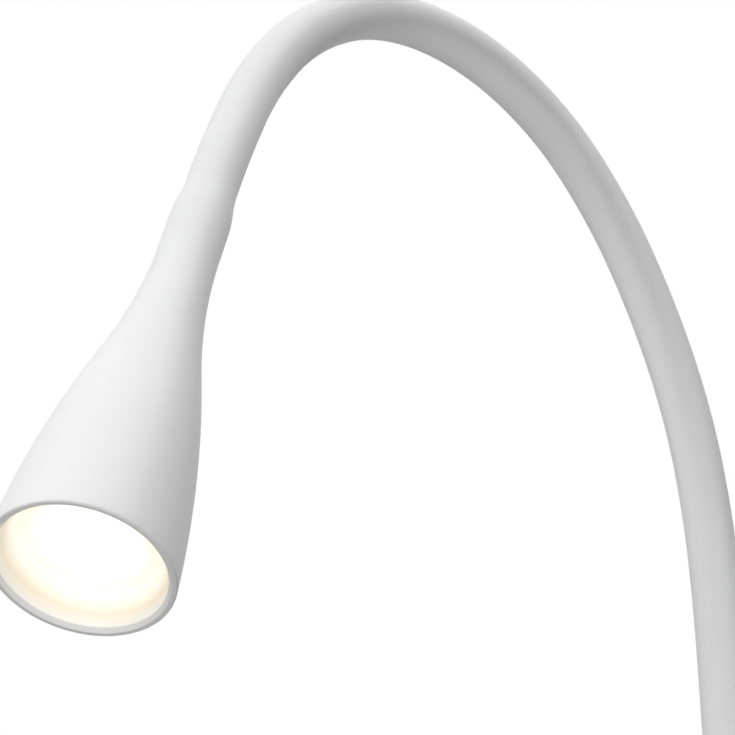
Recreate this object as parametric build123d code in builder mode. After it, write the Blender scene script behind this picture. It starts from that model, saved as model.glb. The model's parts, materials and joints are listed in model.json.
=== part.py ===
from build123d import *
from math import cos, radians, sin, sqrt
import os

# Floor reading lamp: a weighted round base, a two-part pole, a bendable neck and a bell-shaped head.
# Millimetres. The origin is the centre of the base's underside, +Z is up, the neck arches towards -X.

# Base
base_radius = 115.0
base_height = 21.0
base_edge_radius = 7.0
cover_wall = 1.5
weight_clearance = 0.3
pad_thickness = 2.0
pad_margin = 6.0

# Cord inlet at the back of the base
gland_height = 7.5
gland_bore_radius = 3.0
gland_wall = 1.0
gland_flange_width = 1.2
gland_flange_thickness = 2.2
gland_edge_radius = 0.7
gland_reach = 9.0
gland_clearance = 0.1
channel_clearance = 0.4

# Power supply inside the base
driver_length = 60.0
driver_width = 28.0
driver_height = 11.0
driver_gap = 8.0
driver_edge_radius = 2.0
driver_clearance = 0.5

# Foot switch on top of the base
switch_inset = 45.0
button_radius = 10.5
button_clearance = 0.3
button_proud = 4.0
button_depth = 3.0
button_edge_radius = 1.5
button_travel = 2.0
button_spare = 0.6
switch_neck_wall = 2.0
switch_body_step = 2.7
switch_body_floor = 3.0
switch_clearance = 0.1
switch_pocket_clearance = 0.3
collar_width = 4.6
collar_height = 4.0
collar_edge_radius = 1.2

# Wiring that runs through the pole and the head
lead_radius = 2.6
lead_clearance = 0.3

# Stud that clamps the base together and carries the pole
stud_reach = 22.0
stud_clearance = 0.1
stud_end_gap = 1.0
stud_overhang = 1.0
nut_width = 3.0
nut_thickness = 5.0
washer_width = 5.0
washer_thickness = 1.6
recess_clearance = 1.0
weight_hole_clearance = 0.3

# Pole, as thick as the sleeved neck that continues it
neck_radius = 8.0
pole_wall = 1.2
pole_section = 495.0
insert_fit = 0.1
insert_wall = 1.6
insert_length = 24.0
joiner_length = 60.0
ferrule_length = 26.0
ferrule_wall = 1.1

# Neck: equal links, each bent by its own angle at rest, counted from the pole
spine_fit = 0.1
spine_root = 22.0
spine_nose_margin = 0.5
joint_gap = 0.45
link_length = 38.0
link_bends = [0, 0, 2.5, 6.5, 10.5, 9, 15, 27, 29, 29.5, 20, 12.5, 4.2]

# Head: places along its axis are measured from its tail, where the neck ends
tail_lip = 0.05
shoulder_length = 13.0
collar_swell = 1.05
collar_end = 28.0
waist_at = 77.0
waist_radius = 15.0
mouth_radius = 26.9
shell_wall = 2.2
lip_thickness = 2.9
lip_edge_radius = 1.7
lip_bevel_width = 0.5
lip_bevel_depth = 1.0
tail_ferrule_length = 32.0
tail_fit = 0.1
grub_at = 20.0
grub_radius = 2.0
grub_setback = 0.6
grub_fit = 0.1
grub_socket_radius = 1.0
grub_socket_depth = 1.2

# Light source in the head
heat_sink_height = 40.0
heat_sink_flange = 5.0
heat_sink_clearance = 0.3
core_clearance = 1.8
heat_sink_fins = 10
fin_thickness = 1.6
fin_start = 10.0
board_edge = 1.0
board_thickness = 1.6
board_screws = 2
screw_radius = 1.25
screw_head_radius = 2.2
screw_head_height = 1.5
screw_bite = 4.0
screw_fit = 0.1
screw_gap = 1.2
emitter_radius = 6.5
emitter_height = 1.2
emitter_edge_radius = 0.4
reflector_gap = 1.2
reflector_wall = 1.2
reflector_clearance = 0.4
reflector_height = 22.2
seat_width = 1.6
diffuser_thickness = 2.0
mouth_fit = 0.1
mouth_recess = 11.2
ring_setback = 1.0
ring_throat_wall = 2.8
ring_front_wall = 0.3
ring_edge_radius = 0.1

# Values that follow from the sizes above
insert_radius = neck_radius - pole_wall - insert_fit
stud_radius = insert_radius - insert_wall - stud_clearance
spine_bore = insert_radius - ferrule_wall
spine_radius = spine_bore - spine_fit
lead_bore = lead_radius + lead_clearance
cover_underside = base_height - cover_wall
weight_radius = base_radius - cover_wall - weight_clearance
gland_radius = gland_bore_radius + gland_wall
channel_half = gland_radius + channel_clearance
channel_top = gland_height + channel_half
washer_radius = stud_radius + washer_width
recess_radius = washer_radius + recess_clearance
stud_bottom = pad_thickness + stud_end_gap
nut_bottom = stud_bottom + stud_overhang
washer_bottom = nut_bottom + nut_thickness
recess_top = washer_bottom + washer_thickness
driver_offset = recess_radius + driver_gap + driver_length / 2
switch_offset = base_radius - switch_inset
switch_bore_radius = button_radius + button_clearance
switch_neck_radius = switch_bore_radius + switch_neck_wall
switch_body_radius = switch_neck_radius + switch_body_step
button_bottom = base_height - button_depth
button_top = base_height + collar_height + button_proud
button_floor = button_bottom - button_travel - button_spare
pole_middle = base_height + pole_section
pole_top = pole_middle + pole_section
dish_radius = neck_radius + joint_gap
spine_nose = sqrt((neck_radius - spine_nose_margin) ** 2 - spine_radius ** 2)
collar_radius = neck_radius + collar_swell
board_at = waist_at + heat_sink_height
emitter_at = board_at + board_thickness
seat_at = emitter_at + reflector_height
ring_at = seat_at + diffuser_thickness
head_length = ring_at + mouth_recess
ring_front = head_length - ring_setback
mouth_bore = mouth_radius - lip_thickness
mouth_insert = mouth_bore - mouth_fit
seat_radius = mouth_bore - seat_width
hollow_radius = waist_radius - shell_wall
hollow_slope = (seat_radius - hollow_radius) / (seat_at - waist_at)
flange_at = board_at - heat_sink_flange
heat_sink_radius = hollow_radius + hollow_slope * (flange_at - waist_at) - heat_sink_clearance
heat_sink_core = hollow_radius - core_clearance
fin_radius = hollow_radius + hollow_slope * fin_start - heat_sink_clearance
tail_bore = spine_radius + tail_fit
reflector_foot = emitter_radius + reflector_gap
reflector_mouth = seat_radius - reflector_clearance - reflector_wall
board_screw_circle = reflector_foot + reflector_wall + screw_gap + screw_head_radius
board_radius = board_screw_circle + screw_head_radius + board_edge

os.makedirs("parts", exist_ok=True)


def keep(piece, name):
    piece.part.label = name
    export_step(piece.part, f"parts/{name}.step")


# Anti-slip pad under the base
with BuildPart() as base_pad:
    with BuildSketch():
        Circle(base_radius - pad_margin)
    extrude(amount=pad_thickness)
keep(base_pad, "base_pad")

# Cast weight that fills the cover, with its pockets and the cord's channel open at the underside
with BuildPart() as base_weight:
    with BuildSketch(Plane.XY.offset(pad_thickness)):
        Circle(weight_radius)
    extrude(amount=cover_underside - pad_thickness)
    fillet(base_weight.edges().group_by(Axis.Z)[-1], radius=base_edge_radius - cover_wall)
    with BuildSketch(Plane.XY.offset(pad_thickness)):
        with Locations((driver_offset, 0)):
            Rectangle(driver_length + 2 * driver_clearance, driver_width + 2 * driver_clearance)
    extrude(amount=driver_height + driver_clearance, mode=Mode.SUBTRACT)
    with BuildSketch(Plane.XY.offset(pad_thickness)):
        with Locations((-switch_offset, 0)):
            Rectangle(switch_offset + base_radius, 2 * channel_half, align=(Align.MIN, Align.CENTER))
    extrude(amount=channel_top - pad_thickness, mode=Mode.SUBTRACT)
    with BuildSketch(Plane.XY.offset(pad_thickness)):
        Circle(recess_radius)
    extrude(amount=recess_top - pad_thickness, mode=Mode.SUBTRACT)
    with BuildSketch(Plane.XY.offset(pad_thickness)):
        Circle(stud_radius + weight_hole_clearance)
        with Locations((-switch_offset, 0)):
            Circle(switch_body_radius + switch_pocket_clearance)
    extrude(amount=cover_underside - pad_thickness, mode=Mode.SUBTRACT)
keep(base_weight, "base_weight")

# Pressed cover over the weight, open below, with holes for the stud, the switch and the gland
with BuildPart() as base_cover:
    with BuildSketch(Plane.XY.offset(pad_thickness)):
        Circle(base_radius)
    extrude(amount=base_height - pad_thickness)
    fillet(base_cover.edges().group_by(Axis.Z)[-1], radius=base_edge_radius)
    offset(amount=-cover_wall, openings=base_cover.faces().sort_by(Axis.Z)[0])
    with BuildSketch(Plane.XY.offset(cover_underside)):
        Circle(stud_radius + weight_hole_clearance)
        with Locations((-switch_offset, 0)):
            Circle(switch_neck_radius + switch_clearance)
    extrude(amount=cover_wall, mode=Mode.SUBTRACT)
    with BuildSketch(Plane.YZ.offset(base_radius)):
        with Locations((0, gland_height)):
            Circle(gland_radius + gland_clearance)
    extrude(amount=-gland_reach, mode=Mode.SUBTRACT)
keep(base_cover, "base_cover")

# Rubber bush where the cord enters, its flange outside the cover
with BuildPart() as cord_gland:
    with BuildSketch(Plane.YZ.offset(base_radius)):
        with Locations((0, gland_height)):
            Circle(gland_radius)
    extrude(amount=-gland_reach)
    with BuildSketch(Plane.YZ.offset(base_radius)):
        with Locations((0, gland_height)):
            Circle(gland_radius + gland_flange_width)
    extrude(amount=gland_flange_thickness)
    fillet(cord_gland.edges().sort_by(Axis.X)[-1], radius=gland_edge_radius)
    with BuildSketch(Plane.YZ.offset(base_radius + gland_flange_thickness)):
        with Locations((0, gland_height)):
            Circle(gland_bore_radius)
    extrude(amount=-gland_flange_thickness - gland_reach, mode=Mode.SUBTRACT)
keep(cord_gland, "cord_gland")

# Power supply block, lying on the pad in its pocket
with BuildPart() as led_driver:
    with BuildSketch(Plane.XY.offset(pad_thickness)):
        with Locations((driver_offset, 0)):
            Rectangle(driver_length, driver_width)
    extrude(amount=driver_height)
    fillet(led_driver.edges().filter_by(Axis.Z), radius=driver_edge_radius)
keep(led_driver, "led_driver")

# Switch body under the cover, with a neck that comes up through it
with BuildPart() as switch_body:
    with BuildSketch(Plane.XY.offset(button_floor - switch_body_floor)):
        with Locations((-switch_offset, 0)):
            Circle(switch_body_radius)
    extrude(amount=cover_underside - button_floor + switch_body_floor)
    with BuildSketch(Plane.XY.offset(cover_underside)):
        with Locations((-switch_offset, 0)):
            Circle(switch_neck_radius)
    extrude(amount=cover_wall + collar_height)
    with BuildSketch(Plane.XY.offset(button_floor)):
        with Locations((-switch_offset, 0)):
            Circle(switch_bore_radius)
    extrude(amount=base_height + collar_height - button_floor, mode=Mode.SUBTRACT)
keep(switch_body, "switch_body")

# Ring nut that clamps the switch to the cover
with BuildPart() as switch_collar:
    with BuildSketch(Plane.XY.offset(base_height)):
        with Locations((-switch_offset, 0)):
            Circle(switch_neck_radius + switch_clearance + collar_width)
            Circle(switch_neck_radius + switch_clearance, mode=Mode.SUBTRACT)
    extrude(amount=collar_height)
    fillet(switch_collar.edges().group_by(Axis.Z)[-1].sort_by(SortBy.RADIUS)[-1], radius=collar_edge_radius)
keep(switch_collar, "switch_collar")

# Push button, pressed down by a foot
with BuildPart() as switch_button:
    with BuildSketch(Plane.XY.offset(button_bottom)):
        with Locations((-switch_offset, 0)):
            Circle(button_radius)
    extrude(amount=button_top - button_bottom)
    fillet(switch_button.edges().group_by(Axis.Z)[-1], radius=button_edge_radius)
keep(switch_button, "switch_button")

# Hollow stud, washer and nut
with BuildPart() as base_stud:
    with BuildSketch(Plane.XY.offset(stud_bottom)):
        Circle(stud_radius)
        Circle(lead_bore, mode=Mode.SUBTRACT)
    extrude(amount=base_height + stud_reach - stud_bottom)
keep(base_stud, "base_stud")

with BuildPart() as stud_nut:
    with BuildSketch(Plane.XY.offset(nut_bottom)):
        RegularPolygon(stud_radius + nut_width, 6, major_radius=False)
        Circle(stud_radius + stud_clearance, mode=Mode.SUBTRACT)
    extrude(amount=nut_thickness)
keep(stud_nut, "stud_nut")

with BuildPart() as stud_washer:
    with BuildSketch(Plane.XY.offset(washer_bottom)):
        Circle(washer_radius)
        Circle(stud_radius + stud_clearance, mode=Mode.SUBTRACT)
    extrude(amount=washer_thickness)
keep(stud_washer, "stud_washer")

# Pole: two tubes, the threaded insert that stands on the base and the spigot between the tubes
for tube_name, tube_bottom in (("pole_lower", base_height), ("pole_upper", pole_middle)):
    with BuildPart() as pole_tube:
        with BuildSketch(Plane.XY.offset(tube_bottom)):
            Circle(neck_radius)
            Circle(neck_radius - pole_wall, mode=Mode.SUBTRACT)
        extrude(amount=pole_section)
    keep(pole_tube, tube_name)

with BuildPart() as pole_insert:
    with BuildSketch(Plane.XY.offset(base_height)):
        Circle(insert_radius)
        Circle(stud_radius + stud_clearance, mode=Mode.SUBTRACT)
    extrude(amount=insert_length)
keep(pole_insert, "pole_insert")

with BuildPart() as pole_joiner:
    with BuildSketch(Plane.XY.offset(pole_middle - joiner_length / 2)):
        Circle(insert_radius)
        Circle(lead_bore, mode=Mode.SUBTRACT)
    extrude(amount=joiner_length)
keep(pole_joiner, "pole_joiner")

# Ferrule in the top of the pole that grips the neck's spine
with BuildPart() as neck_ferrule:
    with BuildSketch(Plane.XY.offset(pole_top - ferrule_length)):
        Circle(insert_radius)
        Circle(spine_bore, mode=Mode.SUBTRACT)
    extrude(amount=ferrule_length)
keep(neck_ferrule, "neck_ferrule")

# Lead from the base up to the neck, inside the stud, the joiner and the spine
with BuildPart() as pole_lead:
    with BuildSketch(Plane.XY.offset(stud_bottom)):
        Circle(lead_radius)
    extrude(amount=pole_top - stud_bottom)
keep(pole_lead, "pole_lead")

# Neck at rest: a plane at each end of each link, its Z along the neck
link_planes = [Plane((0, 0, pole_top), x_dir=(0, 1, 0), z_dir=(0, 0, 1))]
heading = 90.0
for bend in link_bends:
    half_bend = radians(bend) / 2
    chord = link_length * sin(half_bend) / half_bend if bend else link_length
    step = Vector(cos(radians(heading) + half_bend), 0, sin(radians(heading) + half_bend)) * chord
    heading += bend
    ahead = (cos(radians(heading)), 0, sin(radians(heading)))
    link_planes.append(Plane(link_planes[-1].origin + step, x_dir=(0, 1, 0), z_dir=ahead))


def link_path(index):
    start = link_planes[index]
    end = link_planes[index + 1]
    if link_bends[index] == 0:
        return Line(start.origin, end.origin)
    return TangentArc(start.origin, end.origin, tangent=start.z_dir)


# Each link is a piece of the silicone sleeve over a piece of the wound spine.
# A link ends in a ball that turns in the hollowed start of the next link.
last_link = len(link_bends) - 1
for index in range(len(link_bends)):
    start = link_planes[index]
    end = link_planes[index + 1]

    with BuildPart() as sleeve:
        with BuildLine():
            link_path(index)
        with BuildSketch(start):
            Circle(neck_radius)
            Circle(spine_bore, mode=Mode.SUBTRACT)
        sweep()
        if index < last_link:
            with Locations(end):
                Sphere(neck_radius, arc_size1=0, align=None)
            with BuildSketch(end):
                Circle(spine_bore)
            extrude(amount=neck_radius, mode=Mode.SUBTRACT)
        if index > 0:
            with Locations(start):
                Sphere(dish_radius, mode=Mode.SUBTRACT)
    keep(sleeve, f"neck_sleeve_{index + 1:02d}")

    with BuildPart() as spine:
        with BuildLine():
            link_path(index)
        with BuildSketch(start):
            Circle(spine_radius)
            Circle(lead_bore, mode=Mode.SUBTRACT)
        sweep()
        if index < last_link:
            with BuildSketch(end):
                Circle(spine_radius)
                Circle(lead_bore, mode=Mode.SUBTRACT)
            extrude(amount=spine_nose)
        if index > 0:
            with Locations(start):
                Sphere(dish_radius, mode=Mode.SUBTRACT)
        else:
            with BuildSketch(start):
                Circle(spine_radius)
                Circle(lead_bore, mode=Mode.SUBTRACT)
            extrude(amount=-spine_root)
    keep(spine, f"neck_spine_{index + 1:02d}")

# Head: head_tail looks along the head's axis, and head_section holds that axis as its Y
head_tail = link_planes[-1]
head_axis = Axis(head_tail.origin, head_tail.z_dir)
head_section = Plane(head_tail.origin, x_dir=head_tail.x_dir, z_dir=head_tail.x_dir.cross(head_tail.z_dir))
grub_plane = Plane(head_tail.offset(grub_at).origin, x_dir=head_tail.z_dir, z_dir=head_tail.x_dir)

# Bell shell: a soft shoulder, a straight collar, then two arcs that flare to the mouth
with BuildPart() as head_shell:
    with BuildSketch(head_section):
        with BuildLine():
            tail_edge = (neck_radius + tail_lip, 0)
            Spline(tail_edge, (collar_radius, shoulder_length), tangents=((0, 1), (0, 1)))
            Line((collar_radius, shoulder_length), (collar_radius, collar_end))
            flare = TangentArc((collar_radius, collar_end), (waist_radius, waist_at), tangent=(0, 1))
            TangentArc((waist_radius, waist_at), (mouth_radius, head_length), tangent=flare % 1)
            Polyline((mouth_radius, head_length), (mouth_bore + lip_bevel_width, head_length),
                     (mouth_bore, head_length - lip_bevel_depth), (mouth_bore, seat_at), (seat_radius, seat_at))
            TangentArc((hollow_radius, waist_at), (seat_radius, seat_at), tangent=flare % 1)
            Polyline((hollow_radius, waist_at), (lead_bore, waist_at), (lead_bore, tail_ferrule_length),
                     (tail_bore, tail_ferrule_length), (tail_bore, 0), tail_edge)
        make_face()
    revolve(axis=head_axis)
    lip_edges = head_shell.edges().filter_by(GeomType.CIRCLE).sort_by(head_axis)[-2:]
    fillet(lip_edges.sort_by(SortBy.RADIUS)[-1], radius=lip_edge_radius)
    with BuildSketch(grub_plane):
        Circle(grub_radius + grub_fit)
    extrude(amount=collar_radius + grub_radius, mode=Mode.SUBTRACT)
keep(head_shell, "head_shell")

# Ferrule in the head's tail, and the screw that locks it there
with BuildPart() as head_ferrule:
    with BuildSketch(head_tail):
        Circle(spine_radius)
        Circle(lead_bore, mode=Mode.SUBTRACT)
    extrude(amount=tail_ferrule_length)
keep(head_ferrule, "head_ferrule")

with BuildPart() as grub_screw:
    with BuildSketch(grub_plane.offset(spine_radius)):
        Circle(grub_radius)
    extrude(amount=collar_radius - grub_setback - spine_radius)
    with BuildSketch(grub_plane.offset(collar_radius - grub_setback)):
        RegularPolygon(grub_socket_radius, 6)
    extrude(amount=-grub_socket_depth, mode=Mode.SUBTRACT)
keep(grub_screw, "grub_screw")

# Finned heat sink, standing on the floor of the head's hollow
with BuildPart() as heat_sink:
    with BuildSketch(head_tail.offset(waist_at)):
        Circle(heat_sink_core)
    extrude(amount=heat_sink_height)
    with BuildSketch(head_tail.offset(waist_at + fin_start)):
        with PolarLocations(0, heat_sink_fins // 2, angular_range=180):
            Rectangle(2 * fin_radius, fin_thickness)
    extrude(amount=heat_sink_height - fin_start)
    with BuildSketch(head_tail.offset(flange_at)):
        Circle(heat_sink_radius)
    extrude(amount=heat_sink_flange)
    with BuildSketch(head_tail.offset(waist_at)):
        Circle(lead_bore)
    extrude(amount=heat_sink_height, mode=Mode.SUBTRACT)
    with BuildSketch(head_tail.offset(board_at)):
        with PolarLocations(board_screw_circle, board_screws):
            Circle(screw_radius + screw_fit)
    extrude(amount=-screw_bite, mode=Mode.SUBTRACT)
keep(heat_sink, "heat_sink")

# Lead inside the head, from the ferrule to the back of the board
with BuildPart() as head_lead:
    with BuildSketch(head_tail):
        Circle(lead_radius)
    extrude(amount=board_at)
keep(head_lead, "head_lead")

# Board with its emitter and two screws
with BuildPart() as led_board:
    with BuildSketch(head_tail.offset(board_at)):
        Circle(board_radius)
        with PolarLocations(board_screw_circle, board_screws):
            Circle(screw_radius + screw_fit, mode=Mode.SUBTRACT)
    extrude(amount=board_thickness)
keep(led_board, "led_board")

with BuildPart() as led_emitter:
    with BuildSketch(head_tail.offset(emitter_at)):
        Circle(emitter_radius)
    extrude(amount=emitter_height)
    fillet(led_emitter.edges().group_by(head_axis)[-1], radius=emitter_edge_radius)
keep(led_emitter, "led_emitter")

with BuildPart() as board_screw_set:
    with BuildSketch(head_tail.offset(emitter_at)):
        with PolarLocations(board_screw_circle, board_screws):
            Circle(screw_head_radius)
    extrude(amount=screw_head_height)
    with BuildSketch(head_tail.offset(emitter_at)):
        with PolarLocations(board_screw_circle, board_screws):
            Circle(screw_radius)
    extrude(amount=-board_thickness - screw_bite)
keep(board_screw_set, "board_screws")

# Reflector cone from the emitter to the diffuser
with BuildPart() as reflector:
    with BuildSketch(head_section):
        with BuildLine():
            Polyline((reflector_foot, emitter_at), (reflector_foot + reflector_wall, emitter_at),
                     (reflector_mouth + reflector_wall, seat_at), (reflector_mouth, seat_at), close=True)
        make_face()
    revolve(axis=head_axis)
keep(reflector, "reflector")

# Opal diffuser on the shell's seat, held by the ring in the mouth
with BuildPart() as diffuser:
    with BuildSketch(head_tail.offset(seat_at)):
        Circle(mouth_insert)
    extrude(amount=diffuser_thickness)
keep(diffuser, "diffuser")

with BuildPart() as front_ring:
    with BuildSketch(head_section):
        with BuildLine():
            Polyline((mouth_insert - ring_throat_wall, ring_at), (mouth_insert, ring_at),
                     (mouth_insert, ring_front), (mouth_insert - ring_front_wall, ring_front), close=True)
        make_face()
    revolve(axis=head_axis)
    fillet(front_ring.edges().filter_by(GeomType.CIRCLE).sort_by(head_axis)[-2:], radius=ring_edge_radius)
keep(front_ring, "front_ring")
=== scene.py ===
import bpy
import json
from math import atan2, cos, pi, radians, sin, tan
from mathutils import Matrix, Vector


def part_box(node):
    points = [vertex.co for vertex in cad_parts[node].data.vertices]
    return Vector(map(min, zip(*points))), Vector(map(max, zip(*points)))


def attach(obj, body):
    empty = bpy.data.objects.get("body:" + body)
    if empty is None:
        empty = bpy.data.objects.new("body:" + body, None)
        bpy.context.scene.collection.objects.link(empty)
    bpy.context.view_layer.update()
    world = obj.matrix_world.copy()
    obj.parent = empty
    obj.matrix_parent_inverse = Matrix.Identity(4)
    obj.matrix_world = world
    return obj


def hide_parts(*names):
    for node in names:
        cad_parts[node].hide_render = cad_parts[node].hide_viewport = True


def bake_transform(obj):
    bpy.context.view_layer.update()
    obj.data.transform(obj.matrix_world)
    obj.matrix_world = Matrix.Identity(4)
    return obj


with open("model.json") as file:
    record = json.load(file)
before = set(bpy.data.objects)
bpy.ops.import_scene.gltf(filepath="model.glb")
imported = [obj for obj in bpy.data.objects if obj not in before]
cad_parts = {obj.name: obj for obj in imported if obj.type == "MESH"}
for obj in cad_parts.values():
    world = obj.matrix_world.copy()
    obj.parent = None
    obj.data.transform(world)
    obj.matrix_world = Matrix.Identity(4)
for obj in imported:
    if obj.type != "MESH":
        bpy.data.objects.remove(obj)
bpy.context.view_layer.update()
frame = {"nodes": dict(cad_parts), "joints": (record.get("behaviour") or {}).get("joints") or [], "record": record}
mm = 0.001  # the frame is in metres, the pieces' own sizes below are in mm and degrees
mergeReach = 0.002 * mm
smoothAngle = radians(35)


# Small modelling steps used all over

def deselectAll():
    bpy.ops.object.select_all(action="DESELECT")


def nameNewPiece(name):
    piece = bpy.context.object
    piece.name = name
    piece.data.name = name
    return piece


def pickOnly(piece):
    deselectAll()
    piece.select_set(True)
    bpy.context.view_layer.objects.active = piece


def applyPlace(piece):
    pickOnly(piece)
    bpy.ops.object.transform_apply(location=True, rotation=True, scale=True)


def smoothByAngle(piece):
    pickOnly(piece)
    bpy.ops.object.shade_smooth_by_angle(angle=smoothAngle)


def dress(piece, material, slot, *nodes):
    piece.data.materials.clear()
    piece.data.materials.append(material)
    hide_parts(*nodes)


def roundCorners(outline, steps=5):
    # each point is (radius, height) or (radius, height, rounding); rounded ones become short arcs
    soft = []
    count = len(outline)
    for index, point in enumerate(outline):
        here = Vector(point[:2])
        rounding = point[2] if len(point) > 2 else 0
        if not rounding:
            soft.append(here)
            continue
        before = (Vector(outline[index - 1][:2]) - here).normalized()
        after = (Vector(outline[(index + 1) % count][:2]) - here).normalized()
        halfAngle = before.angle(after) / 2
        reach = rounding / tan(halfAngle)
        middle = here + (before + after).normalized() * (rounding / sin(halfAngle))
        first = here + before * reach - middle
        last = here + after * reach - middle
        swing = first.angle(last)
        for step in range(steps + 1):
            share = step / steps
            spoke = first * sin((1 - share) * swing) + last * sin(share * swing)
            soft.append(middle + spoke / sin(swing))
    return soft


def turnPiece(name, outline, sides):
    # a vertex is drawn round the closed outline in the XZ plane, then spun round Z
    soft = roundCorners(outline)
    soft.append(soft[0])
    places = [Vector((point.x, 0, point.y)) * mm for point in soft]
    deselectAll()
    bpy.ops.mesh.primitive_plane_add(size=mm, location=(0, 0, 0))
    piece = nameNewPiece(name)
    bpy.ops.object.mode_set(mode="EDIT")
    bpy.ops.mesh.merge(type="CENTER")
    bpy.ops.transform.translate(value=places[0])
    for here, there in zip(places, places[1:]):
        bpy.ops.mesh.extrude_vertices_move(TRANSFORM_OT_translate={"value": there - here})
    bpy.ops.mesh.select_all(action="SELECT")
    bpy.ops.mesh.spin(steps=sides, angle=2 * pi, center=(0, 0, 0), axis=(0, 0, 1))
    bpy.ops.mesh.select_all(action="SELECT")
    bpy.ops.mesh.remove_doubles(threshold=mergeReach)
    bpy.ops.mesh.normals_make_consistent(inside=False)
    bpy.ops.object.mode_set(mode="OBJECT")
    return piece


def placeTurned(piece, foot, tilt):
    # stands a turned piece on a point, leaned about Y
    piece.location = foot
    piece.rotation_euler = (0, tilt, 0)
    applyPlace(piece)


def drillHole(piece, radius, middle, tilt, depth, sides=48):
    deselectAll()
    bpy.ops.mesh.primitive_cylinder_add(vertices=sides, radius=radius, depth=depth,
                                        location=middle, rotation=tilt)
    drill = nameNewPiece("drill")
    applyPlace(drill)
    cut = piece.modifiers.new("cut", "BOOLEAN")
    cut.object = drill
    cut.operation = "DIFFERENCE"
    cut.solver = "EXACT"
    pickOnly(piece)
    bpy.ops.object.modifier_apply(modifier=cut.name)
    bpy.data.objects.remove(drill)


def arcOutline(start, end, lean, steps):
    # points of an arc that leaves start at this lean from the height axis and passes through end
    run = Vector(end) - Vector(start)
    chordLean = atan2(run.x, run.y)
    turn = 2 * (chordLean - lean)
    radius = run.length / (2 * sin(turn / 2))
    centre = Vector(start) + Vector((cos(lean), -sin(lean))) * radius
    points = []
    for step in range(1, steps + 1):
        angle = lean + turn * step / steps
        points.append(tuple(centre + Vector((-cos(angle), sin(angle))) * radius))
    return points, lean + turn


# Finishes, each from a few noises on Object coordinates

noiseTones = (0.3, 0.7)  # the values of a noise between which a tone goes over into the other
noiseMiddle = (0.25, 0.75)  # the values that most of a noise lies between
plainShine = 0.5  # for a finish that gives none of its own


def grey(level):
    return (level, level, level)


def newFinish(name, roughness, shine=plainShine):
    material = bpy.data.materials.new(name)
    material.use_nodes = True
    shader = material.node_tree.nodes["Principled BSDF"]
    shader.inputs["Roughness"].default_value = roughness
    shader.inputs["Specular IOR Level"].default_value = shine
    return material, shader


def addNode(material, kind, **values):
    node = material.node_tree.nodes.new(kind)
    for key, value in values.items():
        setattr(node, key, value)
    return node


def wire(material, output, socket):
    material.node_tree.links.new(output, socket)


def objectPlace(material, centre=(0, 0, 0), turn=(0, 0, 0)):
    where = addNode(material, "ShaderNodeTexCoord")
    move = addNode(material, "ShaderNodeMapping", vector_type="TEXTURE")
    move.inputs["Location"].default_value = centre
    move.inputs["Rotation"].default_value = turn
    wire(material, where.outputs["Object"], move.inputs["Vector"])
    return move.outputs["Vector"]


def noiseOn(material, place, size, detail=2, roughness=0.5):
    # size is how wide a patch of the noise is
    noise = addNode(material, "ShaderNodeTexNoise")
    noise.inputs["Scale"].default_value = 1 / size
    noise.inputs["Detail"].default_value = detail
    noise.inputs["Roughness"].default_value = roughness
    wire(material, place, noise.inputs["Vector"])
    return noise.outputs["Fac"]


def colourStops(material, value, stops):
    # stops of (value, colour), lowest first
    band = addNode(material, "ShaderNodeValToRGB")
    steps = band.color_ramp.elements
    for index, (position, colour) in enumerate(stops):
        step = steps[index] if index < 2 else steps.new(position)
        step.position = position
        step.color = (*colour, 1)
    wire(material, value, band.inputs["Fac"])
    return band.outputs["Color"]


def ramp(material, value, span, colours):
    # goes from one colour to the other over a span of values
    return colourStops(material, value, tuple(zip(span, colours)))


def stretch(material, value, source, target):
    # one range of values mapped to another
    mapped = addNode(material, "ShaderNodeMapRange")
    mapped.inputs["From Min"].default_value = source[0]
    mapped.inputs["From Max"].default_value = source[1]
    mapped.inputs["To Min"].default_value = target[0]
    mapped.inputs["To Max"].default_value = target[1]
    wire(material, value, mapped.inputs["Value"])
    return mapped.outputs["Result"]


def tint(material, shader, noise, tones):
    wire(material, ramp(material, noise, noiseTones, tones), shader.inputs["Base Color"])


def sheen(material, shader, noise, gloss):
    # gloss is the range of the roughness
    wire(material, stretch(material, noise, noiseMiddle, gloss), shader.inputs["Roughness"])


def fromAxis(material, place, reach):
    # 0 on the place's own Z axis, 1 at reach from it
    flat = addNode(material, "ShaderNodeVectorMath", operation="MULTIPLY")
    flat.inputs[1].default_value = (1 / reach, 1 / reach, 0)
    wire(material, place, flat.inputs[0])
    far = addNode(material, "ShaderNodeVectorMath", operation="LENGTH")
    wire(material, flat.outputs["Vector"], far.inputs[0])
    return far.outputs["Value"]


def bumps(material, shader, layers):
    # layers of (height output, depth in metres), one over the other
    normal = None
    for height, depth in layers:
        bump = addNode(material, "ShaderNodeBump")
        bump.inputs["Strength"].default_value = 1.0
        bump.inputs["Distance"].default_value = depth
        wire(material, height, bump.inputs["Height"])
        if normal:
            wire(material, normal, bump.inputs["Normal"])
        normal = bump.outputs["Normal"]
    wire(material, normal, shader.inputs["Normal"])


skin = {
    "cloudSize": 45,
    "patchSize": 14,
    "grainSize": 0.35,
    "waveSize": 9,
    "waveDepth": 4,  # times the depth of the grain
}


def softSkin(name, look):
    # paint, rubber or plastic: faint cloudy tone, a little uneven sheen and a fine moulded grain
    material, shader = newFinish(name, look["gloss"][0], look.get("shine", plainShine))
    place = objectPlace(material)
    cloud = noiseOn(material, place, skin["cloudSize"] * mm, detail=3)
    tint(material, shader, cloud, look["tones"])
    patch = noiseOn(material, place, skin["patchSize"] * mm, detail=3)
    sheen(material, shader, patch, look["gloss"])
    grain = noiseOn(material, place, skin["grainSize"] * mm)
    wave = noiseOn(material, place, skin["waveSize"] * mm, detail=1)
    grainDepth = look["grainDepth"] * mm
    bumps(material, shader, [(wave, grainDepth * skin["waveDepth"]), (grain, grainDepth)])
    return material


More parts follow.
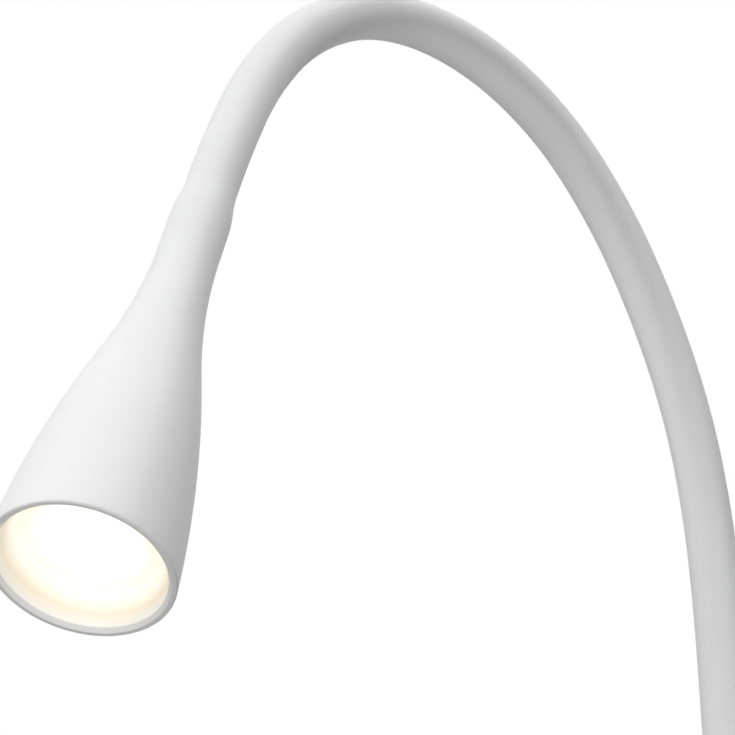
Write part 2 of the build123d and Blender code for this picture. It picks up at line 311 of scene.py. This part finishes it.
# Neck: a silicone sleeve that bends, cut at the middle of each link so that each piece crosses one joint

neck = {
    "sides": 64,
    "halfSteps": 14,
    "wall": 2.4,
    "lastBend": 4.2,
    "straightBelow": 0.05,
    "tones": ((0.86, 0.86, 0.865), grey(0.89)),
    "gloss": (0.6, 0.7),
    "grainDepth": 0.004,
    "shine": 0.22,
}
sleeveSkin = softSkin("siliconeWhite", neck)
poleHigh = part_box("pole_upper")[1]
neckRadius = poleHigh.x
neckJoints = [joint for joint in frame["joints"] if joint["name"].startswith("neck_")]
linkEnds = [Vector((0, 0, poleHigh.z))] + [Vector(joint["pos_m"]) for joint in neckJoints]
linkLength = (linkEnds[1] - linkEnds[0]).length

# heading is the neck's direction in the XZ plane, from +X towards +Z
headings = [pi / 2]
for here, there in zip(linkEnds, linkEnds[1:]):
    chord = there - here
    chordHeading = atan2(chord.z, chord.x) % (2 * pi)
    headings.append(2 * chordHeading - headings[-1])


def along(heading):
    return Vector((cos(heading), 0, sin(heading)))


def toLeft(heading):
    return Vector((-sin(heading), 0, cos(heading)))


def isStraight(bend):
    return abs(bend) < radians(neck["straightBelow"])


def pointOnLink(start, heading, bend, length):
    # where a link of this bend gets to after a length, and its heading there
    if isStraight(bend):
        return start + along(heading) * length, heading
    radius = linkLength / bend
    turn = length / radius
    centre = start + toLeft(heading) * radius
    return centre - toLeft(heading + turn) * radius, heading + turn


linkBends = [after - before for before, after in zip(headings, headings[1:])]
linkBends.append(radians(neck["lastBend"]))
headTail, headHeading = pointOnLink(linkEnds[-1], headings[-1], linkBends[-1], linkLength)
headings.append(headHeading)
linkEnds.append(headTail)


def drawTube(start, heading, bend, length, steps):
    # carries the selected ring along part of a link
    if isStraight(bend):
        stride = along(heading) * length / steps
        for step in range(steps):
            bpy.ops.mesh.extrude_region_move(TRANSFORM_OT_translate={"value": stride})
        return
    radius = linkLength / bend
    centre = start + toLeft(heading) * radius
    bpy.ops.mesh.spin(steps=steps, angle=length / radius, center=centre, axis=(0, 1, 0))


def sleevePiece(index):
    # from the middle of link index to the middle of the next one; the end pieces take the whole end link
    first = index == 0
    last = index == len(neckJoints) - 1
    bendIn, bendOut = linkBends[index:index + 2]
    halvesIn = 2 if first else 1
    halvesOut = 2 if last else 1
    runIn = linkLength / 2 * halvesIn
    runOut = linkLength / 2 * halvesOut
    start, heading = pointOnLink(linkEnds[index], headings[index], bendIn, linkLength - runIn)
    middle = linkEnds[index + 1]
    middleHeading = headings[index + 1]
    deselectAll()
    bpy.ops.mesh.primitive_circle_add(vertices=neck["sides"], radius=neckRadius, location=start,
                                      rotation=(0, pi / 2 - heading, 0))
    piece = nameNewPiece(f"sleeve_{index + 1:02d}")
    applyPlace(piece)
    bpy.ops.object.mode_set(mode="EDIT")
    bpy.ops.mesh.select_all(action="SELECT")
    drawTube(start, heading, bendIn, runIn, neck["halfSteps"] * halvesIn)
    drawTube(middle, middleHeading, bendOut, runOut, neck["halfSteps"] * halvesOut)
    bpy.ops.mesh.select_all(action="SELECT")
    bpy.ops.mesh.normals_make_consistent(inside=False)
    bpy.ops.object.mode_set(mode="OBJECT")
    wall = piece.modifiers.new("wall", "SOLIDIFY")
    wall.thickness = neck["wall"] * mm
    wall.offset = -1
    bpy.ops.object.modifier_apply(modifier=wall.name)
    smoothByAngle(piece)
    nodes = [f"neck_sleeve_{index + 2:02d}"] + (["neck_sleeve_01"] if first else [])
    dress(piece, sleeveSkin, "sleeve_white", *nodes)
    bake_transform(piece)


for index in range(len(neckJoints)):
    sleevePiece(index)
print("neck sleeve:", len(neckJoints), "pieces, tail at", [round(value / mm, 2) for value in headTail])

# Head: bell shell, front ring and diffuser, measured along the axis from the tail

head = {
    "collarSwell": 1.22,
    "shoulderLength": 15,
    "collarEnd": 28,
    "collarStep": 3,
    "waistAt": 77,
    "waistRadius": 15.15,
    "mouthRadius": 26.5,
    "length": 154.0,
    "lipDrop": 0.6,
    "lipReach": 0.8,
    "lipFlat": 0.9,
    "bevelWidth": 1.0,
    "bevelDepth": 1.15,
    "edgeRounding": 0.12,
    "wall": 2.2,
    "seatAt": 140.8,
    "seatRadius": 22.4,
    "leadBore": 2.9,
    "tailBore": 5.6,
    "ferruleLength": 32,
    "grubAt": 20,
    "grubRadius": 2.1,
    "grubDrill": 6,
    "shoulderSteps": 10,
    "flareSteps": 20,
    "bellSteps": 26,
    "lipSteps": 10,
    "hollowSteps": 12,
    "sides": 128,
    "tones": ((0.86, 0.86, 0.865), grey(0.89)),
    "gloss": (0.58, 0.68),
    "grainDepth": 0.003,
    "shine": 0.22,
}
headSkin = softSkin("bellWhite", head)
headTilt = pi / 2 - headHeading
tailRadius = neckRadius / mm
collarRadius = tailRadius + head["collarSwell"]
lipEdge = head["mouthRadius"] - head["lipDrop"]
bevelEdge = lipEdge - head["lipFlat"]
mouthBore = bevelEdge - head["bevelWidth"]
hollowRadius = head["waistRadius"] - head["wall"]


def onHeadAxis(distance):
    return headTail + along(headHeading) * distance * mm


def shoulderOutline(steps):
    # the sleeve's end swells softly into the collar
    points = []
    for step in range(steps + 1):
        share = step / steps
        swell = head["collarSwell"] * share * share * (3 - 2 * share)
        points.append((tailRadius + swell, head["shoulderLength"] * share))
    return points


def lipOutline(steps):
    # a small round into a narrow flat, then a bevel that faces the light
    points = []
    for step in range(1, steps):
        angle = pi / 2 * step / steps
        drawn = head["lipDrop"] * (1 - cos(angle))
        short = head["lipReach"] * (1 - sin(angle))
        points.append((head["mouthRadius"] - drawn, head["length"] - short))
    points += [(lipEdge, head["length"]), (bevelEdge, head["length"], head["edgeRounding"])]
    points.append((mouthBore, head["length"] - head["bevelDepth"], head["edgeRounding"]))
    return points


def bellOutline():
    # up the outside from the tail, round the lip, and back down inside
    outer = shoulderOutline(head["shoulderSteps"])
    collarStart = head["shoulderLength"] + head["collarStep"]
    for height in range(collarStart, head["collarEnd"] + 1, head["collarStep"]):
        outer.append((collarRadius, height))
    collarEdge = (collarRadius, head["collarEnd"])
    waist = (head["waistRadius"], head["waistAt"])
    flare, flareLean = arcOutline(collarEdge, waist, 0, head["flareSteps"])
    lipStart = (head["mouthRadius"], head["length"] - head["lipReach"])
    bell = arcOutline(flare[-1], lipStart, flareLean, head["bellSteps"])[0]
    lip = lipOutline(head["lipSteps"])
    hollowStart = (hollowRadius, head["waistAt"])
    seat = (head["seatRadius"], head["seatAt"])
    hollow = arcOutline(hollowStart, seat, flareLean, head["hollowSteps"])[0]
    inside = [(mouthBore, head["seatAt"])] + hollow[::-1] + [hollowStart]
    duct = [
        (head["leadBore"], head["waistAt"]),
        (head["leadBore"], head["ferruleLength"]),
        (head["tailBore"], head["ferruleLength"]),
        (head["tailBore"], 0),
    ]
    return outer + flare + bell + lip + inside + duct


shell = turnPiece("head_bell", bellOutline(), head["sides"])
placeTurned(shell, headTail, headTilt)
grubPlace = onHeadAxis(head["grubAt"]) + Vector((0, collarRadius * mm, 0))
drillHole(shell, head["grubRadius"] * mm, grubPlace, (pi / 2, 0, 0), head["grubDrill"] * mm)
smoothByAngle(shell)
dress(shell, headSkin, "head_white", "head_shell")
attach(shell, "head")
print("head shell:", len(shell.data.polygons), "faces")

ring = {
    "backAt": 142.8,
    "frontAt": 152.85,
    "outside": 23.97,
    "throat": 21.1,
    "frontWall": 0.06,
    "rounding": 0.02,
    "roughness": 0.45,
    # tones from the lens to the lip; the warm ones in the middle are painted light from the lens
    "tones": (
        (0, (0.89, 0.89, 0.87)),
        (0.3, (0.88, 0.86, 0.79)),
        (0.62, (0.88, 0.81, 0.68)),
        (1, (0.89, 0.88, 0.86)),
    ),
    "drift": 0.04,
    "cloudSize": 5,
    # the ring is no lamp: its glow is painted light from the lens
    "glow": (1.0, 0.95, 0.84),
    "glowStrength": (0.36, 0.1),
    "paintedGlowReach": 0.6,
    "grainSize": 0.35,
    "grainDepth": 0.002,
}
ringOutline = [
    (ring["throat"], ring["backAt"]),
    (ring["outside"], ring["backAt"]),
    (ring["outside"], ring["frontAt"], ring["rounding"]),
    (ring["outside"] - ring["frontWall"], ring["frontAt"], ring["rounding"]),
]


def paintedLightRingSkin():
    # painted light: a painted glow beside the lens and painted warm light in the middle of its depth, plain white
    # at the lip
    material, shader = newFinish("ringWarmPaintedLight", ring["roughness"])
    place = objectPlace(material, onHeadAxis(ring["backAt"]), (0, headTilt, 0))
    axes = addNode(material, "ShaderNodeSeparateXYZ")
    wire(material, place, axes.inputs["Vector"])
    ringDepth = (ring["frontAt"] - ring["backAt"]) * mm
    depth = stretch(material, axes.outputs["Z"], (0, ringDepth), (0, 1))
    cloud = noiseOn(material, place, ring["cloudSize"] * mm)
    drift = addNode(material, "ShaderNodeMath", operation="MULTIPLY_ADD")
    drift.inputs[1].default_value = ring["drift"]
    wire(material, cloud, drift.inputs[0])
    wire(material, depth, drift.inputs[2])
    # painted warm light from the lens in the middle of the depth, over a faint cloudy drift
    tone = colourStops(material, drift.outputs["Value"], ring["tones"])
    wire(material, tone, shader.inputs["Base Color"])
    # painted glow, strongest by the lens and fading towards the lip
    shader.inputs["Emission Color"].default_value = (*ring["glow"], 1)
    strength = stretch(material, depth, (0, ring["paintedGlowReach"]), ring["glowStrength"])
    wire(material, strength, shader.inputs["Emission Strength"])
    grain = noiseOn(material, place, ring["grainSize"] * mm)
    bumps(material, shader, [(grain, ring["grainDepth"] * mm)])
    return material


mouthRing = turnPiece("mouth_ring", ringOutline, head["sides"])
placeTurned(mouthRing, headTail, headTilt)
smoothByAngle(mouthRing)
dress(mouthRing, paintedLightRingSkin(), "ring_white", "front_ring")
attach(mouthRing, "head")

lens = {
    "radius": 23.9,
    "backAt": 140.8,
    "thickness": 2.0,
    "dome": 0.6,
    "domeGap": 0.4,
    "rounding": 0.3,
    "roughness": 0.35,
    "tones": ((0.86, 0.85, 0.82), (0.9, 0.89, 0.86)),
    "cloudSize": 6,
    "grainSize": 0.4,
    "grainDepth": 0.003,
    "middleGlow": (1.0, 0.97, 0.88),
    "rimGlow": (1.0, 0.86, 0.62),
    "warmth": (0.38, 0.95),
    "middleStrength": 2.1,
    "rimStrength": 0.62,
    "fade": (0.2, 0.8),
}


def lensOutline(steps=10):
    # flat back, seated rim and a faintly domed front inside the ring
    front = lens["backAt"] + lens["thickness"]
    domeRadius = ring["throat"] - lens["domeGap"]
    points = [
        (0, lens["backAt"]),
        (lens["radius"], lens["backAt"]),
        (lens["radius"], front, lens["rounding"]),
    ]
    for step in range(steps + 1):
        share = 1 - step / steps
        points.append((domeRadius * share, front + lens["dome"] * (1 - share * share)))
    return points


def opalGlow():
    # lit opal: brightest in the middle, a little warmer and dimmer at the rim
    material, shader = newFinish("opalLit", lens["roughness"])
    place = objectPlace(material, onHeadAxis(lens["backAt"]), (0, headTilt, 0))
    cloud = noiseOn(material, place, lens["cloudSize"] * mm)
    tint(material, shader, cloud, lens["tones"])
    grain = noiseOn(material, place, lens["grainSize"] * mm)
    bumps(material, shader, [(grain, lens["grainDepth"] * mm)])
    outward = fromAxis(material, place, ring["throat"] * mm)
    glow = ramp(material, outward, lens["warmth"], (lens["middleGlow"], lens["rimGlow"]))
    wire(material, glow, shader.inputs["Emission Color"])
    strength = stretch(material, outward, lens["fade"], (lens["middleStrength"], lens["rimStrength"]))
    wire(material, strength, shader.inputs["Emission Strength"])
    return material


diffuser = turnPiece("diffuser_lens", lensOutline(), head["sides"])
placeTurned(diffuser, headTail, headTilt)
smoothByAngle(diffuser)
dress(diffuser, opalGlow(), "diffuser_opal", "diffuser")
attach(diffuser, "head")
print("mouth: ring and lens in place")

# Pole: two painted tubes that meet over the joiner with a fine seam

pole = {
    "wall": 1.2,
    "endRounding": 0.25,
    "sides": 96,
    "tones": (grey(0.83), grey(0.86)),
    "gloss": (0.36, 0.46),
    "grainDepth": 0.006,
}
polePaint = softSkin("polePaint", pole)


def poleTube(name, node):
    low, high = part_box(node)
    outside = neckRadius / mm
    inside = outside - pole["wall"]
    outline = [
        (inside, low.z / mm),
        (outside, low.z / mm, pole["endRounding"]),
        (outside, high.z / mm, pole["endRounding"]),
        (inside, high.z / mm),
    ]
    tube = turnPiece(name, outline, pole["sides"])
    smoothByAngle(tube)
    dress(tube, polePaint, "pole_white", node)
    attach(tube, "stand")


poleTube("lower_tube", "pole_lower")
poleTube("upper_tube", "pole_upper")
print("pole: two tubes")

# Base: pressed cover, rubber pad, foot switch and cord inlet

base = {
    "radius": 115,
    "height": 21,
    "edgeRounding": 7,
    "wall": 1.5,
    "hemRounding": 0.5,
    "skirtAt": 2,
    "studHole": 5.3,
    "switchHole": 12.9,
    "switchDrill": 6,
    "glandHole": 4.1,
    "glandDrill": 12,
    "sides": 160,
    "tones": (grey(0.82), grey(0.86)),
    "gloss": (0.36, 0.48),
    "grainDepth": 0.006,
}
basePaint = softSkin("basePaint", base)
switchLow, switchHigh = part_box("switch_button")
switchMiddle = (switchLow + switchHigh) / 2
glandLow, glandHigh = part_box("cord_gland")
glandMiddle = (glandLow + glandHigh) / 2

coverTop = base["height"]
coverUnder = base["height"] - base["wall"]
coverInside = base["radius"] - base["wall"]
coverOutline = [
    (base["studHole"], coverUnder),
    (base["studHole"], coverTop),
    (base["radius"], coverTop, base["edgeRounding"]),
    (base["radius"], base["skirtAt"], base["hemRounding"]),
    (coverInside, base["skirtAt"], base["hemRounding"]),
    (coverInside, coverUnder, base["edgeRounding"] - base["wall"]),
]
cover = turnPiece("base_shell", coverOutline, base["sides"])
switchHoleAt = Vector((switchMiddle.x, 0, coverTop * mm))
drillHole(cover, base["switchHole"] * mm, switchHoleAt, (0, 0, 0), base["switchDrill"] * mm)
glandHoleAt = Vector((base["radius"] * mm, 0, glandMiddle.z))
drillHole(cover, base["glandHole"] * mm, glandHoleAt, (0, pi / 2, 0), base["glandDrill"] * mm)
smoothByAngle(cover)
dress(cover, basePaint, "base_white", "base_cover")
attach(cover, "stand")

pad = {
    "radius": 109,
    "thickness": 2,
    "rounding": 0.6,
    "grooves": 9,
    "grooveDepth": 0.7,
    "grooveWidth": 3,
    "grooveSlope": 0.4,
    "tones": (grey(0.09), grey(0.13)),
    "gloss": (0.75, 0.9),
    "grainDepth": 0.02,
}


def padOutline():
    # rings of grip under the pad, with flat lands that stand on the floor
    points = [(0, pad["thickness"]), (0, 0)]
    pitch = pad["radius"] / (pad["grooves"] + 1)
    for groove in range(1, pad["grooves"] + 1):
        inner = groove * pitch - pad["grooveWidth"] / 2
        outer = inner + pad["grooveWidth"]
        points += [
            (inner, 0),
            (inner + pad["grooveSlope"], pad["grooveDepth"]),
            (outer - pad["grooveSlope"], pad["grooveDepth"]),
            (outer, 0),
        ]
    return points + [(pad["radius"], 0, pad["rounding"]), (pad["radius"], pad["thickness"])]


footPad = turnPiece("foot_pad", padOutline(), base["sides"])
smoothByAngle(footPad)
dress(footPad, softSkin("padRubber", pad), "pad_grey", "base_pad")
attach(footPad, "stand")

barrel = {
    "radius": 15.5,
    "footRounding": 0.5,
    "neckRadius": 12.8,
    "neckRounding": 0.3,
    "bore": 10.8,
    "boreRounding": 0.5,
    "floorGap": 2.6,
    "sides": 96,
    "tones": ((0.02, 0.02, 0.021), (0.03, 0.03, 0.031)),
    "gloss": (0.4, 0.55),
    "grainDepth": 0.004,
}
switchRing = {
    "radius": 17.5,
    "height": 4,
    "rounding": 1.2,
    "boreGap": 0.1,
    "boreRounding": 0.4,
    "sides": 144,
    "tones": (grey(0.84), grey(0.87)),
    "gloss": (0.28, 0.38),
    "grainDepth": 0.002,
}
switchCentre = Vector((switchMiddle.x, 0, 0))
switchRingTop = coverTop + switchRing["height"]
switchRingBore = barrel["neckRadius"] + switchRing["boreGap"]
switchRingOutline = [
    (switchRingBore, coverTop),
    (switchRing["radius"], coverTop),
    (switchRing["radius"], switchRingTop, switchRing["rounding"]),
    (switchRingBore, switchRingTop, switchRing["boreRounding"]),
]
collar = turnPiece("switch_ring", switchRingOutline, switchRing["sides"])
placeTurned(collar, switchCentre, 0)
smoothByAngle(collar)
dress(collar, softSkin("collarWhite", switchRing), "collar_white", "switch_collar")
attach(collar, "stand")

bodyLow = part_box("switch_body")[0]
barrelFloor = switchLow.z / mm - barrel["floorGap"]
barrelOutline = [
    (0, bodyLow.z / mm),
    (barrel["radius"], bodyLow.z / mm, barrel["footRounding"]),
    (barrel["radius"], coverUnder),
    (barrel["neckRadius"], coverUnder),
    (barrel["neckRadius"], switchRingTop, barrel["neckRounding"]),
    (barrel["bore"], switchRingTop, barrel["boreRounding"]),
    (barrel["bore"], barrelFloor),
    (0, barrelFloor),
]
blackPlastic = softSkin("blackPlastic", barrel)
switchBody = turnPiece("switch_barrel", barrelOutline, barrel["sides"])
placeTurned(switchBody, switchCentre, 0)
smoothByAngle(switchBody)
dress(switchBody, blackPlastic, "black_plastic", "switch_body")
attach(switchBody, "stand")

toeButton = {
    "radius": 10.5,
    "footRounding": 0.4,
    "rounding": 1.5,
    "dish": 0.7,
    "dishRadius": 8.2,
    "sides": 96,
    "tones": (grey(0.84), (0.87, 0.87, 0.865)),
    "gloss": (0.4, 0.55),
    "grainDepth": 0.004,
}


def buttonOutline(steps=8):
    # a shallow dish for the toe
    top = switchHigh.z / mm
    bottom = switchLow.z / mm
    points = [
        (0, bottom),
        (toeButton["radius"], bottom, toeButton["footRounding"]),
        (toeButton["radius"], top, toeButton["rounding"]),
    ]
    for step in range(steps + 1):
        share = 1 - step / steps
        drop = toeButton["dish"] * (1 - share * share) ** 2
        points.append((toeButton["dishRadius"] * share, top - drop))
    return points


button = turnPiece("foot_button", buttonOutline(), toeButton["sides"])
placeTurned(button, switchCentre, 0)
smoothByAngle(button)
dress(button, softSkin("buttonWhite", toeButton), "button_white", "switch_button")
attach(button, "switch_button")

gland = {
    "radius": 4,
    "bore": 3,
    "tailRounding": 0.2,
    "flangeRadius": 5.2,
    "flangeThickness": 2.2,
    "rounding": 0.7,
    "edgeRounding": 0.3,
    "sides": 64,
    "tones": (grey(0.28), grey(0.33)),
    "gloss": (0.6, 0.75),
    "grainDepth": 0.006,
}
glandLength = (glandHigh.x - glandLow.x) / mm
flangeAt = glandLength - gland["flangeThickness"]
glandOutline = [
    (gland["bore"], 0, gland["tailRounding"]),
    (gland["radius"], 0, gland["tailRounding"]),
    (gland["radius"], flangeAt),
    (gland["flangeRadius"], flangeAt, gland["edgeRounding"]),
    (gland["flangeRadius"], glandLength, gland["rounding"]),
    (gland["bore"], glandLength, gland["edgeRounding"]),
]
cordBush = turnPiece("cord_bush", glandOutline, gland["sides"])
placeTurned(cordBush, Vector((glandLow.x, 0, glandMiddle.z)), pi / 2)
smoothByAngle(cordBush)
dress(cordBush, softSkin("glandRubber", gland), "gland_grey", "cord_gland")
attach(cordBush, "stand")
print("base: cover, pad, switch and inlet")


# Inside pieces keep their built shapes and get finishes of their own

def inPatches(material, place, size):
    # the place counted in patches of this (x, y, z) size
    count = addNode(material, "ShaderNodeVectorMath", operation="DIVIDE")
    count.inputs[1].default_value = [width * mm for width in size]
    wire(material, place, count.inputs[0])
    return count.outputs["Vector"]


def metalSkin(name, look):
    # bare metal: tone and sheen in patches, with a fine grain; sizes are (x, y, z) widths
    material, shader = newFinish(name, look["gloss"][0])
    shader.inputs["Metallic"].default_value = look["metal"]
    place = objectPlace(material)
    patch = noiseOn(material, inPatches(material, place, look["patchSize"]), 1, detail=3)
    tint(material, shader, patch, look["tones"])
    sheen(material, shader, patch, look["gloss"])
    grain = noiseOn(material, inPatches(material, place, look["grainSize"]), 1)
    bumps(material, shader, [(grain, look["grainDepth"] * mm)])
    return material


zinc = {
    "crystalSize": 1.4,
    "tones": ((0.52, 0.53, 0.55), (0.68, 0.69, 0.7)),
    "gloss": (0.24, 0.42),
    "grainSize": 0.2,
    "grainDepth": 0.002,
}


def zincSkin():
    # plated steel with a spangle of small crystals
    material, shader = newFinish("zincPlated", zinc["gloss"][0])
    shader.inputs["Metallic"].default_value = 1.0
    place = objectPlace(material)
    crystals = addNode(material, "ShaderNodeTexVoronoi")
    crystals.inputs["Scale"].default_value = 1 / (zinc["crystalSize"] * mm)
    wire(material, place, crystals.inputs["Vector"])
    cell = addNode(material, "ShaderNodeSeparateXYZ")
    wire(material, crystals.outputs["Color"], cell.inputs["Vector"])
    tone = ramp(material, cell.outputs["X"], (0, 1), zinc["tones"])
    wire(material, tone, shader.inputs["Base Color"])
    sheen(material, shader, cell.outputs["Y"], zinc["gloss"])
    grain = noiseOn(material, place, zinc["grainSize"] * mm)
    bumps(material, shader, [(grain, zinc["grainDepth"] * mm)])
    return material


phosphor = {
    "roughness": 0.25,
    "grainSize": 0.5,
    "grainDetail": 4,
    "grainCoarseness": 0.7,
    "grainDepth": 0.01,
    "tones": ((0.93, 0.7, 0.16), (0.97, 0.82, 0.3)),
    "glow": (1.0, 0.86, 0.55),
    "glowStrength": (1.2, 1.8),
}


def phosphorSkin():
    # the lit disc: yellow gel with coarse phosphor grains
    material, shader = newFinish("phosphorYellow", phosphor["roughness"])
    place = objectPlace(material)
    grains = noiseOn(material, place, phosphor["grainSize"] * mm,
                     phosphor["grainDetail"], phosphor["grainCoarseness"])
    tint(material, shader, grains, phosphor["tones"])
    bumps(material, shader, [(grains, phosphor["grainDepth"] * mm)])
    shader.inputs["Emission Color"].default_value = (*phosphor["glow"], 1)
    strength = stretch(material, grains, noiseMiddle, phosphor["glowStrength"])
    wire(material, strength, shader.inputs["Emission Strength"])
    return material


spineSteel = {
    "tones": ((0.42, 0.42, 0.43), (0.58, 0.58, 0.59)),
    "gloss": (0.28, 0.45),
    "patchSize": (6, 6, 1.5),
    "grainSize": (1, 1, 0.15),
    "grainDepth": 0.006,
    "metal": 1.0,
}
castIron = {
    "tones": ((0.1, 0.1, 0.105), (0.19, 0.185, 0.18)),
    "gloss": (0.6, 0.85),
    "patchSize": (7, 7, 7),
    "grainSize": (0.9, 0.9, 0.9),
    "grainDepth": 0.12,
    "metal": 0.7,
}
extrudedAluminium = {
    "tones": ((0.68, 0.68, 0.69), (0.82, 0.82, 0.83)),
    "gloss": (0.3, 0.48),
    "patchSize": (2, 2, 40),
    "grainSize": (0.25, 0.25, 12),
    "grainDepth": 0.004,
    "metal": 1.0,
}
leadVinyl = {
    "tones": ((0.76, 0.76, 0.75), (0.82, 0.82, 0.81)),
    "gloss": (0.35, 0.5),
    "grainDepth": 0.004,
}
boardMask = {
    "tones": ((0.82, 0.82, 0.81), (0.88, 0.88, 0.86)),
    "gloss": (0.18, 0.3),
    "grainDepth": 0.002,
}
reflectorGloss = {
    "tones": ((0.88, 0.87, 0.84), (0.92, 0.91, 0.88)),
    "gloss": (0.12, 0.2),
    "grainDepth": 0.001,
}
# finishes by the material slot of the built piece
innerSkins = {
    "spine_steel": metalSkin("spineSteel", spineSteel),
    "weight_iron": metalSkin("castIron", castIron),
    "sink_aluminium": metalSkin("extrudedAluminium", extrudedAluminium),
    "zinc_steel": zincSkin(),
    "emitter_yellow": phosphorSkin(),
    "lead_white": softSkin("leadVinyl", leadVinyl),
    "board_white": softSkin("boardMask", boardMask),
    "reflector_white": softSkin("reflectorGloss", reflectorGloss),
    "black_plastic": blackPlastic,
}
for entry in frame["record"]["subparts"]:
    if entry["material_slot"] in innerSkins:
        builtPiece = frame["nodes"][entry["node"]]
        builtPiece.data.materials.clear()
        builtPiece.data.materials.append(innerSkins[entry["material_slot"]])
print("inside: finishes on the pieces kept as built")

# Floor, light and camera, in metres and degrees

ground = {
    "size": 40,
    "fadeReach": 16,
    "fade": ((0, grey(0.1)), (0.04, grey(0.14)), (0.3, grey(0.72)), (1, grey(1))),
    "tones": (grey(0.69), grey(0.71)),
    "gloss": (0.6, 0.7),
    "grainDepth": 0.01,  # in mm, as for every skin
}
ambient = 0.058  # how strongly the white backdrop lights the lamp
aims = {
    "arch": Vector((-0.12, 0, 1.18)),
    "head": Vector((-0.24, 0, 1.08)),
    "pole": Vector((0, 0, 1.1)),
}
farBox = {"aim": "arch", "distance": 1.7, "size": (0.5, 0.5)}
nearBox = {"aim": "head", "distance": 0.7, "size": (0.3, 0.3)}
poleStrip = {"aim": "pole", "distance": 0.45, "size": (0.1, 0.6)}
# each soft box looks at its aim from a compass direction, a height angle and a distance
softBoxes = [
    {**farBox, "name": "leftBox", "compass": 180, "height": 30, "power": 12.6},
    {**farBox, "name": "rightBox", "compass": 300, "height": 60, "power": 15.4},
    {**nearBox, "name": "nearBackBox", "compass": 120, "height": 30, "power": 0.7},
    {**nearBox, "name": "nearFrontBox", "compass": 210, "height": 0, "power": 1.2},
    {**nearBox, "name": "lowFrontBox", "compass": 240, "height": -20, "power": 1.2},
    {**nearBox, "name": "lowLeftBox", "compass": 180, "height": -45, "power": 0.2},
    {**poleStrip, "name": "backStrip", "compass": 40, "height": 0, "power": 0.45},
    {**farBox, "name": "backBox", "compass": 55, "height": 45, "power": 9},
]


def softBox(box):
    compass = radians(box["compass"])
    height = radians(box["height"])
    outward = Vector((cos(compass) * cos(height), sin(compass) * cos(height), sin(height)))
    bpy.ops.object.light_add(type="AREA", location=aims[box["aim"]] + outward * box["distance"])
    lamp = bpy.context.object
    lamp.name = box["name"]
    lamp.data.shape = "RECTANGLE"
    lamp.data.size, lamp.data.size_y = box["size"]
    lamp.data.energy = box["power"]
    lamp.rotation_euler = outward.to_track_quat("Z", "Y").to_euler()
    lamp.visible_camera = False


def seenRays(holder):
    # 1 for what the camera sees, straight, in a gloss or through glass
    path = addNode(holder, "ShaderNodeLightPath")
    seen = path.outputs["Is Camera Ray"]
    for also in ("Is Glossy Ray", "Is Transmission Ray"):
        either = addNode(holder, "ShaderNodeMath", operation="MAXIMUM")
        wire(holder, seen, either.inputs[0])
        wire(holder, path.outputs[also], either.inputs[1])
        seen = either.outputs["Value"]
    return seen


def floorSkin():
    # pale paint that goes over into the white of the backdrop away from the lamp
    material = softSkin("floorPaint", ground)
    nodes = material.node_tree.nodes
    away = fromAxis(material, objectPlace(material), ground["fadeReach"])
    share = addNode(material, "ShaderNodeMath", operation="MULTIPLY")
    wire(material, colourStops(material, away, ground["fade"]), share.inputs[0])
    wire(material, seenRays(material), share.inputs[1])
    white = addNode(material, "ShaderNodeEmission")
    mixed = addNode(material, "ShaderNodeMixShader")
    wire(material, share.outputs["Value"], mixed.inputs["Fac"])
    wire(material, nodes["Principled BSDF"].outputs["BSDF"], mixed.inputs[1])
    wire(material, white.outputs["Emission"], mixed.inputs[2])
    wire(material, mixed.outputs["Shader"], nodes["Material Output"].inputs["Surface"])
    return material


deselectAll()
bpy.ops.mesh.primitive_plane_add(size=ground["size"], location=(0, 0, 0))
floor = nameNewPiece("floor")
floor.data.materials.append(floorSkin())

for box in softBoxes:
    softBox(box)

world = bpy.data.worlds.new("studio")
world.use_nodes = True
bpy.context.scene.world = world
backdrop = world.node_tree.nodes["Background"]
backdrop.inputs["Color"].default_value = (1, 1, 1, 1)
brightness = stretch(world, seenRays(world), (0, 1), (ambient, 1))
wire(world, brightness, backdrop.inputs["Strength"])
print("studio: floor,", len(softBoxes), "soft boxes and a white backdrop")

camera = {
    "place": (-0.6421, -0.6001, 0.5690),
    "turn": -39.6,
    "lookUp": 36.1,
    "lens": 156.735,
    "sensor": 36,
}
cameraTurn = (radians(90 + camera["lookUp"]), 0, radians(camera["turn"]))
bpy.ops.object.camera_add(location=camera["place"], rotation=cameraTurn)
view = bpy.context.object
view.name = "photoView"
view.data.sensor_width = camera["sensor"]
view.data.lens = camera["lens"]
bpy.context.scene.camera = view
bpy.context.scene.view_settings.view_transform = "Standard"
